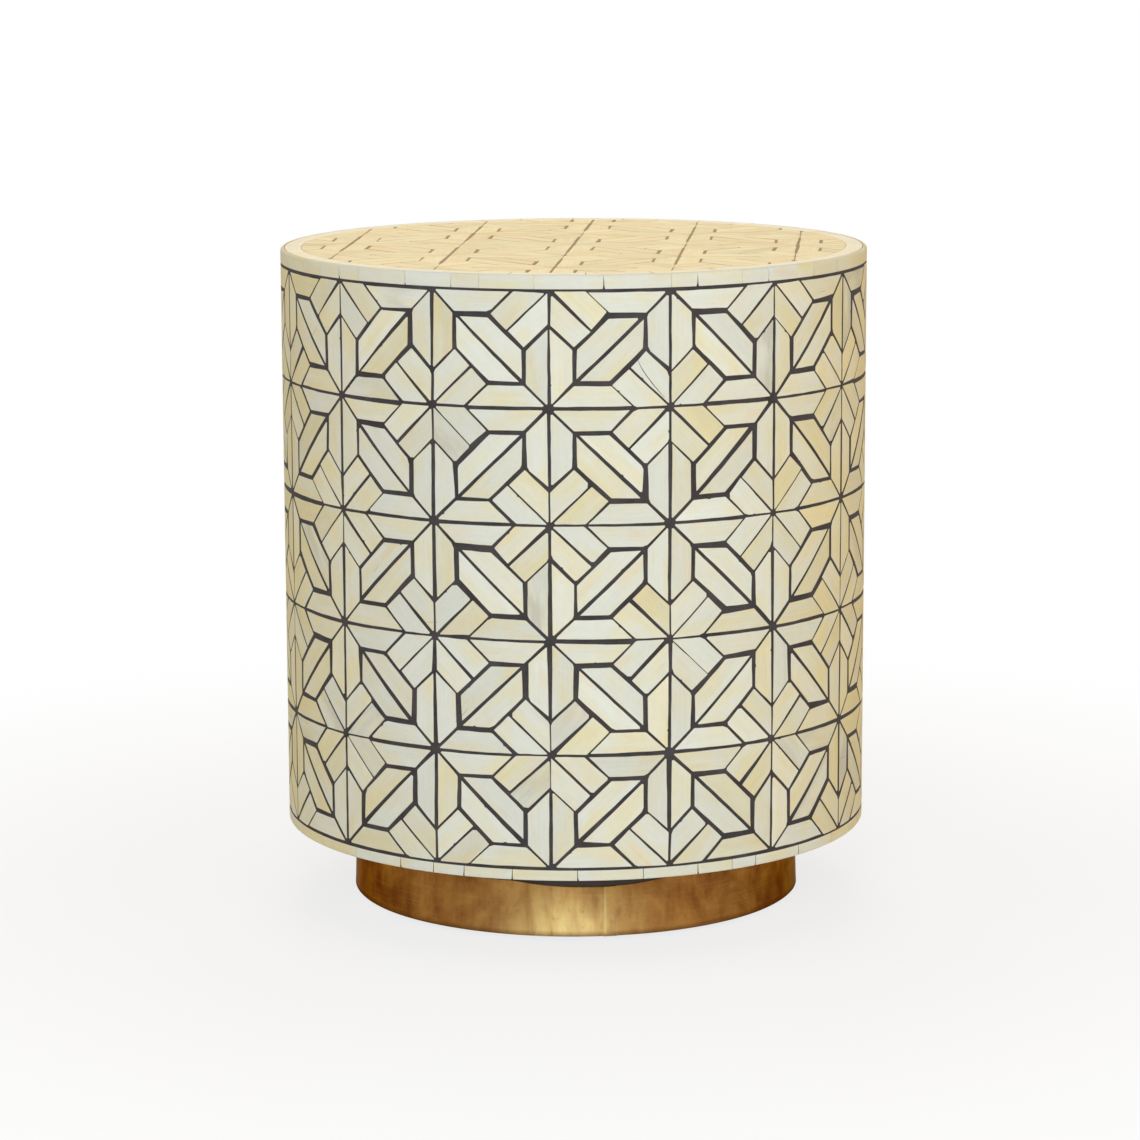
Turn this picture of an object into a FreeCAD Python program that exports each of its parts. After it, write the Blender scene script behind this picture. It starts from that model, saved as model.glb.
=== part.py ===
import FreeCAD, Part

import math
import os

from FreeCAD import Matrix, Vector

# Round side table: a hollow timber drum faced with bone set in dark resin, on a brass-clad plinth.
# Millimetres, +Z up. The origin is the middle of the floor under the table, and the front faces -Y.

# Driving dimensions of the drum
drum_radius = 200.0
wall_thickness = 9.0
board_thickness = 18.0
board_rebate = 6.0

# Driving dimensions of the bone inlay
bone_thickness = 2.5
bed_thickness = 0.5
glue_line = 0.15
joint_width = 1.8
inlay_columns = 16
inlay_rows = 5
row_height = 75.6
top_cells_across = 4.85
smallest_bone_side = 6.3

# Driving dimensions of the bone edging on the two rims
top_rim_height = 10.0
bottom_rim_height = 8.0
top_border_width = 9.5
edging_strips = 40
edging_joint = 0.5

# Driving dimensions of the frame inside the drum
upright_count = 6
upright_width = 32.0
upright_depth = 24.0
tenon_length = 8.0
tenon_width = 16.0
tenon_depth = 12.0
rail_height = 36.0
rail_depth = 18.0

# Driving dimensions of the plinth
neck_radius = 112.0
neck_height = 12.0
plinth_radius = 154.0
plinth_height = 38.0
brass_thickness = 0.8
brass_lap = 9.0
brass_lap_angle = 13.0
pad_side = 24.0
pad_height = 4.0
pad_count = 4
pad_inset = 26.0

# Driving dimensions of the bolt that holds the plinth
bolt_radius = 5.0
bolt_hexagon = 17.0
bolt_head_height = 6.5
bolt_pocket_radius = 18.0
bolt_spare = 4.0
nut_height = 8.0
hole_clearance = 0.3

# The inlay is drawn on a grid of square cells, whose nodes alternate. At a point star four bars meet
# tip to tip, and at a strip star four pairs of strips cross. These two shares of a cell give all the
# pieces the same width.
bar_share = (math.sqrt(2) - 1) / 2
strip_share = 1 - 1 / math.sqrt(2)
column_angle = 360.0 / inlay_columns
column_arc = math.radians(column_angle) * drum_radius

# Heights, from the floor up
plinth_bottom = pad_height
plinth_middle = plinth_bottom + plinth_height / 2
plinth_top = plinth_bottom + plinth_height
drum_bottom = plinth_top + neck_height
field_bottom = drum_bottom + bottom_rim_height
field_top = field_bottom + inlay_rows * row_height
table_top = field_top + top_rim_height

# Layers of the top and of the wall, from the outside in. Each piece of bone bends in flats between its
# corners, and the bed lies behind the middle of the widest flat.
widest_flat = math.radians(strip_share * column_angle)
bed_radius = drum_radius * math.cos(widest_flat / 2) - bone_thickness
wall_outer_radius = bed_radius - bed_thickness - glue_line
wall_inner_radius = wall_outer_radius - wall_thickness
edging_inner_radius = drum_radius - bone_thickness
border_outer_radius = edging_inner_radius - edging_joint
border_inner_radius = border_outer_radius - top_border_width
top_field_radius = border_inner_radius - joint_width
top_cell = top_field_radius * 2 / top_cells_across
bone_back_height = table_top - bone_thickness
top_board_top = bone_back_height - bed_thickness
top_board_bottom = top_board_top - board_thickness
base_board_top = drum_bottom + board_thickness
wall_top = top_board_bottom + board_rebate
wall_bottom = base_board_top - board_rebate
upright_radius = math.sqrt(wall_inner_radius**2 - (upright_width / 2) ** 2) - upright_depth / 2
core_radius = plinth_radius - brass_thickness

# Levels along the bolt
bolt_seat = plinth_bottom + bolt_head_height + bolt_spare
nut_top = base_board_top + nut_height

AXIS = Vector(0, 0, 1)
ORIGIN = Vector(0, 0, 0)


# Shapes used by several pieces


def turned(outline, sweep=360.0):
    """Solid turned about the upright axis from a closed outline of (radius, height) points."""
    points = [Vector(radius, 0, height) for radius, height in outline]
    return Part.Face(Part.makePolygon(points + points[:1])).revolve(ORIGIN, AXIS, sweep)


def tube_outline(outer, inner, bottom, top):
    """Outline that turns into a tube between two radii and two heights."""
    return [(inner, bottom), (outer, bottom), (outer, top), (inner, top)]


def disc(radius, bottom, top):
    """Round board between two heights."""
    return Part.makeCylinder(radius, top - bottom, Vector(0, 0, bottom))


def spun(shape, degrees):
    """Copy of a shape turned about the upright axis."""
    matrix = Matrix()
    matrix.rotateZ(math.radians(degrees))
    return shape.transformed(matrix, True)


def polar(shape, count, first=0.0):
    """Copies of a shape, evenly spaced round the upright axis."""
    return [spun(shape, first + 360.0 * k / count) for k in range(count)]


def prism(corners, travel):
    """Block with a flat outline, extruded along a vector."""
    return Part.Face(Part.makePolygon(corners + corners[:1])).extrude(travel)


# Bone inlay


def node_pieces(point_star):
    """Outlines of the pieces that belong to one node, in cells from that node, by kind.

    A point star owns the bars that start at its centre and the two diagonal bars below it.
    """
    w, half, end = bar_share, bar_share + strip_share, 1 - strip_share
    bar = [(0, 0), (w, w), (half, w), (end, 0), (half, -w), (w, -w)]
    diagonal = [(w, w), (half, w), (1 - w, half), (1 - w, 1 - w), (half, 1 - w), (w, half)]
    arm = [(0, 0), (strip_share, 0), (half, w), (w, half), (0, strip_share)]
    if not point_star:
        return {"star_arms": [[(p * u, q * v) for u, v in arm] for p in (1, -1) for q in (1, -1)]}
    return {
        "level_bars": [[(p * u, v) for u, v in bar] for p in (1, -1)],
        "upright_bars": [[(v, p * u) for u, v in bar] for p in (1, -1)],
        "diagonal_bars": [[(p * u, v) for u, v in diagonal] for p in (1, -1)],
    }


KINDS = ("level_bars", "upright_bars", "diagonal_bars", "star_arms")


def clipped(outline, lowest, highest):
    """Part of a convex outline whose second coordinate lies between two limits."""
    for sign, limit in ((1, lowest), (-1, -highest)):
        kept = []
        for (au, av), (bu, bv) in zip(outline, outline[1:] + outline[:1]):
            a_in, b_in = sign * av - limit, sign * bv - limit
            if a_in >= 0:
                kept.append((au, av))
            if a_in * b_in < 0:
                share = a_in / (a_in - b_in)
                kept.append((au + share * (bu - au), av + share * (bv - av)))
        outline = kept
    return outline


def inset(outline, gap):
    """Convex outline drawn in by a gap on every side."""
    middle_x = sum(x for x, _ in outline) / len(outline)
    middle_y = sum(y for _, y in outline) / len(outline)
    lines = []
    for (ax, ay), (bx, by) in zip(outline, outline[1:] + outline[:1]):
        length = math.hypot(bx - ax, by - ay)
        nx, ny = (ay - by) / length, (bx - ax) / length
        side = math.copysign(1.0, nx * (middle_x - ax) + ny * (middle_y - ay))
        lines.append((nx * side, ny * side, side * (nx * ax + ny * ay) + gap))
    corners = []
    for (a, b, c), (d, e, f) in zip(lines[-1:] + lines[:-1], lines):
        det = a * e - b * d
        corners.append(((c * e - b * f) / det, (a * f - c * d) / det))
    return corners


def curved_bone(outline):
    """Piece of the wall's inlay from (arc, drop) points, bent in flats to follow the drum."""
    arcs = sorted({round(arc, 6) for arc, _ in outline})
    middle = (arcs[0] + arcs[-1]) / 2
    turns = [(arc - middle) / drum_radius for arc in arcs]
    front = [Vector(drum_radius * math.sin(turn), -drum_radius * math.cos(turn), 0) for turn in turns]
    first = front[0] * 2 - front[1]
    last = front[-1] * 2 - front[-2]
    front = [first] + front[1:-1] + [last]
    back = [point + Vector(0, bone_thickness, 0) for point in reversed(front)]
    drops = [drop for _, drop in outline]
    below = Vector(0, 0, -max(drops) - bone_thickness)
    slab = prism(
        [point + below for point in front + back],
        Vector(0, 0, max(drops) - min(drops) + bone_thickness * 2),
    )
    inside = -drum_radius * math.cos(turns[0]) + bone_thickness * 2
    face = [
        Vector(drum_radius * math.sin((arc - middle) / drum_radius), inside, -drop)
        for arc, drop in outline
    ]
    piece = prism(face, Vector(0, -drum_radius - bone_thickness - inside, 0)).common(slab)
    return spun(piece.Solids[0], math.degrees(middle / drum_radius))


def side_inlay():
    """Bone on the wall: two columns of the grid, repeated round the drum."""
    nodes = {"side_" + kind: [] for kind in KINDS}
    pairs = inlay_columns // 2
    for column in range(2):
        for row in range(inlay_rows + 1):
            for kind, outlines in node_pieces((column + row) % 2 == 1).items():
                for outline in outlines:
                    kept = clipped([(u, v + row) for u, v in outline], 0, inlay_rows)
                    if len(kept) < 4:
                        continue
                    real = [((u + column) * column_arc, v * row_height - field_top) for u, v in kept]
                    piece = curved_bone(inset(real, joint_width / 2))
                    nodes["side_" + kind] += polar(piece, pairs)
    return nodes


def top_inlay():
    """Bone on the top: the same pieces on a square grid about a point star, cut to the round."""
    field = disc(top_field_radius, bone_back_height, table_top)
    reach = math.ceil(top_field_radius / top_cell) + 1
    nodes = {"top_" + kind: [] for kind in KINDS}
    for i in range(-reach, reach + 1):
        for j in range(-reach, reach + 1):
            for kind, outlines in node_pieces((i + j) % 2 == 0).items():
                for outline in outlines:
                    real = [((u + i) * top_cell, (v + j) * top_cell) for u, v in outline]
                    corners = [Vector(x, y, bone_back_height) for x, y in inset(real, joint_width / 2)]
                    piece = prism(corners, Vector(0, 0, bone_thickness))
                    if max(math.hypot(corner.x, corner.y) for corner in corners) > top_field_radius:
                        piece = piece.common(field)
                    if piece.Volume > smallest_bone_side**2 * bone_thickness:
                        nodes["top_" + kind].append(piece.Solids[0])
    return nodes


def strip_ring(outer, inner, bottom, top):
    """Short bone strips laid end to end in a ring, each bent once at its middle."""
    sweep = 2 * math.pi / edging_strips - edging_joint / drum_radius
    turns = (-sweep / 2, 0.0, sweep / 2)
    plan = [
        Vector(radius * math.cos(turn), radius * math.sin(turn), bottom)
        for radius, order in ((outer, turns), (inner, turns[::-1]))
        for turn in order
    ]
    return polar(prism(plan, Vector(0, 0, top - bottom)), edging_strips, 180.0 / edging_strips)


def edging():
    """Bone strips round the two rims and along the border of the top."""
    half_joint = joint_width / 2
    rim = (drum_radius, edging_inner_radius)
    border = (border_outer_radius, border_inner_radius)
    return {
        "top_rim_edging": strip_ring(*rim, field_top + half_joint, table_top),
        "bottom_rim_edging": strip_ring(*rim, drum_bottom, field_bottom - half_joint),
        "top_border": strip_ring(*border, bone_back_height, table_top),
    }


def resin_beds():
    """Resin that glues the bone to the wall and to the top board."""
    wall = tube_outline(bed_radius, bed_radius - bed_thickness, drum_bottom, top_board_top)
    return {
        "side_resin_bed": [turned(wall)],
        "top_resin_bed": [disc(bed_radius, top_board_top, bone_back_height)],
    }


# Timber drum


def rebated_board(face, shoulder, back):
    """Round board whose edge is rebated, so that the wall seats round it and against the shoulder."""
    outline = [
        (0, face),
        (wall_outer_radius, face),
        (wall_outer_radius, shoulder),
        (wall_inner_radius, shoulder),
        (wall_inner_radius, back),
        (0, back),
    ]
    return turned(outline)


def wall_half(first):
    """Half of the bent plywood wall. The two halves butt over an upright on each side."""
    outline = tube_outline(wall_outer_radius, wall_inner_radius, wall_bottom, wall_top)
    return spun(turned(outline, 180.0), first)


def standing_box(depth, width, bottom, top):
    """Box on the uprights' circle, square to the radius."""
    corner = Vector(upright_radius - depth / 2, -width / 2, bottom)
    return Part.makeBox(depth, width, top - bottom, corner)


def uprights():
    """Posts just inside the wall, with a stub tenon at each end that enters a mortise in the board."""
    post = standing_box(upright_depth, upright_width, base_board_top, top_board_bottom)
    tenon = standing_box(
        tenon_depth,
        tenon_width,
        base_board_top - tenon_length,
        top_board_bottom + tenon_length,
    )
    return polar(post.fuse(tenon), upright_count)


def mid_rails(posts):
    """Rails at half height, each cut to fit between two neighbouring uprights."""
    turn = math.pi / upright_count
    length = 2 * upright_radius * math.sin(turn)
    middle = (base_board_top + top_board_bottom) / 2
    corner = Vector(
        upright_radius * math.cos(turn) - rail_depth / 2, -length / 2, middle - rail_height / 2
    )
    rail = Part.makeBox(rail_depth, length, rail_height, corner)
    return [piece.cut(posts).Solids[0] for piece in polar(rail, upright_count, math.degrees(turn))]


# Plinth


def hexagon(bottom, top):
    """Six-sided head or nut between two heights."""
    radius = bolt_hexagon / math.sqrt(3)
    corners = [
        Vector(radius * math.cos(k * math.pi / 3), radius * math.sin(k * math.pi / 3), bottom)
        for k in range(6)
    ]
    return prism(corners, Vector(0, 0, top - bottom))


def bolt_hole():
    """Hole for the bolt through every board, with a pocket for its head under the plinth."""
    hole = disc(bolt_radius + hole_clearance, plinth_bottom, base_board_top)
    return hole.fuse(disc(bolt_pocket_radius, plinth_bottom, bolt_seat))


def bolt_set():
    """Bolt up through the plinth, the neck and the base board, with its nut inside the drum."""
    head = hexagon(bolt_seat - bolt_head_height, bolt_seat)
    shank = disc(bolt_radius, bolt_seat, nut_top + bolt_spare)
    nut = hexagon(base_board_top, nut_top).cut(shank)
    return {"plinth_bolt": [head.fuse(shank)], "bolt_nut": [nut]}


def brass_band():
    """Brass sheet bent round the plinth, with its end lapped over its start."""
    sheet = turned(tube_outline(plinth_radius, core_radius, plinth_bottom, plinth_top))
    sweep = math.degrees(brass_lap / plinth_radius)
    outside = tube_outline(plinth_radius + brass_thickness, plinth_radius, plinth_bottom, plinth_top)
    lap = spun(turned(outside, sweep), brass_lap_angle - 90.0 - sweep / 2)
    return sheet.fuse(lap)


def floor_pads():
    """Felt pads under the rim of the plinth."""
    corner = Vector(core_radius - pad_inset - pad_side / 2, -pad_side / 2, 0)
    pad = Part.makeBox(pad_side, pad_side, pad_height, corner)
    return polar(pad, pad_count, 180.0 / pad_count)


# The whole table


def numbered(name, solids):
    """Nodes of a repeated piece, one for each copy."""
    return {f"{name}_{number}": [solid] for number, solid in enumerate(solids, 1)}


def table():
    """Every node of the table, as a list of separate solids."""
    posts = uprights()
    hole = bolt_hole()
    top_board = rebated_board(top_board_top, wall_top, top_board_bottom)
    base_board = rebated_board(drum_bottom, wall_bottom, base_board_top)
    nodes = {
        "top_board": [top_board.cut(posts)],
        "base_board": [base_board.cut(posts + [hole])],
        "front_wall": [wall_half(180.0)],
        "back_wall": [wall_half(0.0)],
        "neck_board": [disc(neck_radius, plinth_top, drum_bottom).cut(hole)],
        "plinth_upper_board": [disc(core_radius, plinth_middle, plinth_top).cut(hole)],
        "plinth_lower_board": [disc(core_radius, plinth_bottom, plinth_middle).cut(hole)],
        "brass_band": [brass_band()],
        **numbered("upright", posts),
        **numbered("mid_rail", mid_rails(posts)),
        **numbered("floor_pad", floor_pads()),
    }
    for group in (bolt_set(), resin_beds(), edging(), side_inlay(), top_inlay()):
        nodes.update(group)
    return nodes


def main():
    os.makedirs("parts", exist_ok=True)
    for name, solids in table().items():
        shape = solids[0] if len(solids) == 1 else Part.makeCompound(solids)
        shape.exportStep(os.path.join("parts", name + ".step"))


main()
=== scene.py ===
"""Side table: bone-inlay drum on a recessed brass plinth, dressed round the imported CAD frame."""
import math
import random

import bmesh
import bpy
from mathutils import Matrix, Vector


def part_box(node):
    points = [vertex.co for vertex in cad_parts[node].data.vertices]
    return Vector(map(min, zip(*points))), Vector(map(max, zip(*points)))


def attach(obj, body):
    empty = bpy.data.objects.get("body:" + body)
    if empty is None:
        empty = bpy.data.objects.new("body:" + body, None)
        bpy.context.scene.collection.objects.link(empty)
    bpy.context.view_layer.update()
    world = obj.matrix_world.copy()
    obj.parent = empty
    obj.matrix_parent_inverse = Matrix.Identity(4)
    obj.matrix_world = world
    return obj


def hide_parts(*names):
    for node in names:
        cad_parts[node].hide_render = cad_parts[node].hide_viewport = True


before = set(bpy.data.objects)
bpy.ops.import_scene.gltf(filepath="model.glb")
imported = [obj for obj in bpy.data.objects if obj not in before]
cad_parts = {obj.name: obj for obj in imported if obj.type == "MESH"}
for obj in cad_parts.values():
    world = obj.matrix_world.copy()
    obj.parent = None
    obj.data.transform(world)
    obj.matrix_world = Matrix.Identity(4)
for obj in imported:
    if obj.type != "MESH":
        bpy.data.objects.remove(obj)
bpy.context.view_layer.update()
bpy.context.scene.view_settings.view_transform = "Standard"

MM = 0.001
rng = random.Random(20817)

# Places read from the CAD frame

rim_low, rim_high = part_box("top_rim_edging")
foot_low, foot_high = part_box("bottom_rim_edging")
_, border_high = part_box("top_border")
brass_low, brass_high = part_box("brass_band")
plinth_low, plinth_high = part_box("plinth_upper_board")

# Sizes of the inlay. The joint, the counts and the border are those of the part's source.

JOINT = 1.8 * MM
COLUMNS = 16
ROWS = 5
RADIUS = rim_high.x
TABLE_TOP = rim_high.z
FIELD_TOP = rim_low.z - JOINT / 2
FIELD_BOTTOM = foot_high.z + JOINT / 2
ROW = (FIELD_TOP - FIELD_BOTTOM) / ROWS
COLUMN = 2 * math.pi * RADIUS / COLUMNS
BONE = 2.5 * MM
BORDER = 9.5 * MM
BORDER_OUTER = border_high.x
BORDER_INNER = BORDER_OUTER - BORDER
TOP_FIELD = BORDER_INNER - JOINT
TOP_CELLS_ACROSS = 4.85
TOP_CELL = 2 * TOP_FIELD / TOP_CELLS_ACROSS
RESIN_BED = 0.5 * MM
RESIN_DROP = 0.15 * MM
FLAT_WIDTH = 7.0 * MM
SMALLEST_OFFCUT = 20.0 * MM * MM
PLAIN_TINT = (1.0, 0.0, 0.0, 1.0)

# Camera at the photograph's place

LENS = 124.378
SENSOR = 36.0
CAMERA_AZIMUTH = math.radians(4.605)
CAMERA_DISTANCE = 2.68838
CAMERA_HEIGHT = 0.71161
CAMERA_PITCH = math.radians(10.2837)
CAMERA_YAW = math.radians(-0.0698)
CAMERA_ROLL = math.radians(-0.2226)


def make_camera():
    """Camera with the lens, place and tilt found from the pattern's crossings."""
    data = bpy.data.cameras.new("camera")
    data.sensor_width = SENSOR
    data.lens = LENS
    data.clip_start = 0.05
    data.clip_end = 60.0
    camera = bpy.data.objects.new("camera", data)
    bpy.context.scene.collection.objects.link(camera)
    level = math.cos(CAMERA_PITCH)
    ahead = Vector((math.sin(CAMERA_YAW) * level, math.cos(CAMERA_YAW) * level, -math.sin(CAMERA_PITCH)))
    right = Vector((math.cos(CAMERA_YAW), -math.sin(CAMERA_YAW), 0.0))
    up = right.cross(ahead)
    c, s = math.cos(CAMERA_ROLL), math.sin(CAMERA_ROLL)
    right, up = c * right + s * up, c * up - s * right
    tilt = Matrix((right, up, -ahead)).transposed().to_4x4()
    place = Matrix.Translation((0.0, -CAMERA_DISTANCE, CAMERA_HEIGHT))
    camera.matrix_world = Matrix.Rotation(CAMERA_AZIMUTH, 4, "Z") @ place @ tilt
    bpy.context.scene.camera = camera


# Materials


def linear(red, green, blue):
    """Linear colour of an sRGB colour given in 0 to 255."""
    def one(value):
        value /= 255.0
        return value / 12.92 if value <= 0.04045 else ((value + 0.055) / 1.055) ** 2.4
    return (one(red), one(green), one(blue), 1.0)


class Nodes:
    """The node tree of a material or a world, built up node by node."""

    def __init__(self, owner, output):
        self.owner = owner
        owner.use_nodes = True
        self.tree = owner.node_tree
        self.tree.nodes.clear()
        self.surface = self.node(output).inputs["Surface"]

    def node(self, kind, **settings):
        made = self.tree.nodes.new(kind)
        for key, value in settings.items():
            setattr(made, key, value)
        return made

    def join(self, source, target):
        self.tree.links.new(source, target)

    def feed(self, value, socket):
        """Joins an output to a socket, or sets the socket's own value."""
        if isinstance(value, bpy.types.NodeSocket):
            self.join(value, socket)
        else:
            socket.default_value = value

    def maths(self, operation, a, b):
        made = self.node("ShaderNodeMath", operation=operation)
        self.feed(a, made.inputs[0])
        self.feed(b, made.inputs[1])
        return made.outputs[0]

    def total(self, a, b):
        return self.maths("ADD", a, b)

    def product(self, a, b):
        return self.maths("MULTIPLY", a, b)

    def object_place(self):
        return self.node("ShaderNodeTexCoord").outputs["Object"]

    def stretch(self, value, low, high, to_low=0.0, to_high=1.0, kind="LINEAR"):
        """Maps the range from low to high onto another one, and stops at its ends."""
        made = self.node("ShaderNodeMapRange", clamp=True, interpolation_type=kind)
        names = ("Value", "From Min", "From Max", "To Min", "To Max")
        for item, name in zip((value, low, high, to_low, to_high), names):
            self.feed(item, made.inputs[name])
        return made.outputs["Result"]

    def glow(self, kind, colour, strength):
        """A shader that gives off light."""
        made = self.node(kind)
        made.inputs["Color"].default_value = colour
        made.inputs["Strength"].default_value = strength
        return made.outputs[0]

    def seen_rays(self):
        """One for camera, glossy and transmission rays, nought for the rest."""
        path = self.node("ShaderNodeLightPath").outputs
        seen = self.maths("MAXIMUM", path["Is Camera Ray"], path["Is Glossy Ray"])
        return self.maths("MAXIMUM", seen, path["Is Transmission Ray"])

    def blend(self, share, a, b):
        """Shader a where the share is nought, shader b where it is one."""
        made = self.node("ShaderNodeMixShader")
        for source, socket in zip((share, a, b), made.inputs):
            self.join(source, socket)
        return made.outputs[0]


class Shade(Nodes):
    """A material with one principled shader."""

    def __init__(self, name):
        super().__init__(bpy.data.materials.new(name), "ShaderNodeOutputMaterial")
        self.shader = self.node("ShaderNodeBsdfPrincipled")
        self.join(self.shader.outputs["BSDF"], self.surface)

    def attribute(self, name):
        return self.node("ShaderNodeAttribute", attribute_name=name)

    def scaled(self, vector, factors):
        made = self.node("ShaderNodeVectorMath", operation="MULTIPLY")
        self.join(vector, made.inputs[0])
        made.inputs[1].default_value = factors
        return made.outputs[0]

    def noise(self, vector, scale, detail, roughness, distortion=0.0):
        made = self.node("ShaderNodeTexNoise")
        self.join(vector, made.inputs["Vector"])
        made.inputs["Scale"].default_value = scale
        made.inputs["Detail"].default_value = detail
        made.inputs["Roughness"].default_value = roughness
        made.inputs["Distortion"].default_value = distortion
        return made.outputs["Fac"]

    def mix(self, share, a, b):
        """Colour a where the share is nought, colour b where it is one."""
        made = self.node("ShaderNodeMix", data_type="RGBA", blend_type="MIX")
        self.feed(share, made.inputs[0])
        self.feed(a, made.inputs[6])
        self.feed(b, made.inputs[7])
        return made.outputs[2]

    def bump(self, height, strength, distance):
        made = self.node("ShaderNodeBump")
        made.inputs["Strength"].default_value = strength
        made.inputs["Distance"].default_value = distance
        self.join(height, made.inputs["Height"])
        self.join(made.outputs["Normal"], self.shader.inputs["Normal"])

    def finish(self, colour, roughness, **constants):
        """Joins up the shader, sets constants straight on its sockets, and gives the material."""
        self.feed(colour, self.shader.inputs["Base Color"])
        self.feed(roughness, self.shader.inputs["Roughness"])
        for name, value in constants.items():
            self.shader.inputs[name.replace("_", " ")].default_value = value
        return self.owner


def bone_material(name, ivory, cream, peach, grey, edge, streak_depth, polish, gloss):
    """Sawn and polished bone: streaks and pores along the slip, soft coloured patches, stained edges."""
    shade = Shade(name)
    tint = shade.attribute("tint")
    parts = shade.node("ShaderNodeSeparateColor")
    shade.join(tint.outputs["Color"], parts.inputs["Color"])
    lightness, warmth, greyness = parts.outputs[0], parts.outputs[1], parts.outputs[2]
    grain = shade.attribute("grain").outputs["Vector"]
    place = shade.object_place()
    fine_cloud = shade.noise(place, 170.0, 3.0, 0.6)

    def along_grain(factors, *settings):
        """Noise drawn out along the grain by factors for along, across and into the bone."""
        return shade.noise(shade.scaled(grain, factors), 1.0, *settings)

    streak = along_grain((34.0, 620.0, 90.0), 3.0, 0.6, 0.3)
    broad = along_grain((17.0, 130.0, 40.0), 2.0, 0.5, 0.4)
    patch = along_grain((31.0, 62.0, 11.0), 2.0, 0.45, 0.2)
    blush = along_grain((24.0, 78.0, 17.0), 2.0, 0.5, 0.2)
    shadow = along_grain((22.0, 74.0, 23.0), 3.0, 0.55, 0.3)
    pores = along_grain((330.0, 2600.0, 500.0), 1.0, 0.5)
    warm = shade.total(warmth, shade.stretch(patch, 0.42, 0.7, -0.16, 0.46))
    warm = shade.total(warm, shade.stretch(broad, 0.3, 0.75, -0.14, 0.22))
    base = shade.mix(shade.stretch(warm, 0.0, 1.0), ivory, cream)
    base = shade.mix(shade.stretch(blush, 0.6, 0.76, 0.0, 0.5), base, peach)
    clouded = shade.product(greyness, shade.stretch(shadow, 0.38, 0.62))
    base = shade.mix(clouded, base, grey)
    light = shade.stretch(streak, 0.3, 0.72, 1.0 - streak_depth, 1.0 + streak_depth * 0.45)
    light = shade.product(light, shade.stretch(fine_cloud, 0.3, 0.7, 0.985, 1.012))
    light = shade.product(light, shade.stretch(pores, 0.66, 0.76, 1.0, 0.88))
    light = shade.product(light, lightness)
    lit = shade.node("ShaderNodeVectorMath", operation="SCALE")
    shade.join(base, lit.inputs[0])
    shade.join(light, lit.inputs["Scale"])
    colour = shade.mix(tint.outputs["Alpha"], edge, lit.outputs[0])
    roughness = shade.stretch(streak, 0.3, 0.7, polish + 0.11, polish)
    height = shade.total(shade.product(streak, 0.6), shade.product(pores, -0.5))
    shade.bump(height, 0.12, 0.2 * MM)
    return shade.finish(colour, roughness, Specular_IOR_Level=gloss)


def resin_material(name, dark, pale, roughness, gloss):
    """Filled resin sanded flush: cloudy, with dust and sanding haze."""
    shade = Shade(name)
    place = shade.object_place()
    cloud = shade.noise(place, 60.0, 4.0, 0.6)
    dust = shade.noise(place, 900.0, 2.0, 0.6)
    clouded = shade.stretch(cloud, 0.35, 0.7, 0.0, 0.7)
    share = shade.total(clouded, shade.stretch(dust, 0.5, 0.75, 0.0, 0.3))
    colour = shade.mix(share, dark, pale)
    shade.bump(dust, 0.15, 0.2 * MM)
    haze = shade.stretch(cloud, 0.3, 0.7, roughness - 0.08, roughness + 0.1)
    return shade.finish(colour, haze, Specular_IOR_Level=gloss)


# Brass tones, painted highlight and shade among them, and how far under the upper board the painted shade at
# the foot of the band begins and is full

BRASS_DARK = linear(116, 67, 28)
BRASS_PALE = linear(154, 107, 51)
# Rubbed brass, also the colour of a painted highlight
BRASS_RUBBED_AND_HIGHLIGHT = linear(222, 199, 126)
# Dulled brass, also the colour of painted shade on the band's sides
BRASS_DULLED_AND_SHADE = linear(82, 46, 20)
BRASS_SPOTS = linear(100, 61, 27)
# Colour of the painted shade at the foot of the band
BRASS_FOOT_SHADE = linear(84, 50, 22)
BRASS_LINES = linear(206, 168, 104)
BRASS_EDGE_TINT = (0.45, 0.33, 0.2, 1.0)
FOOT_SHADE_BEGINS = 15.0 * MM
FOOT_SHADE_FULL = 19.0 * MM


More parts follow.
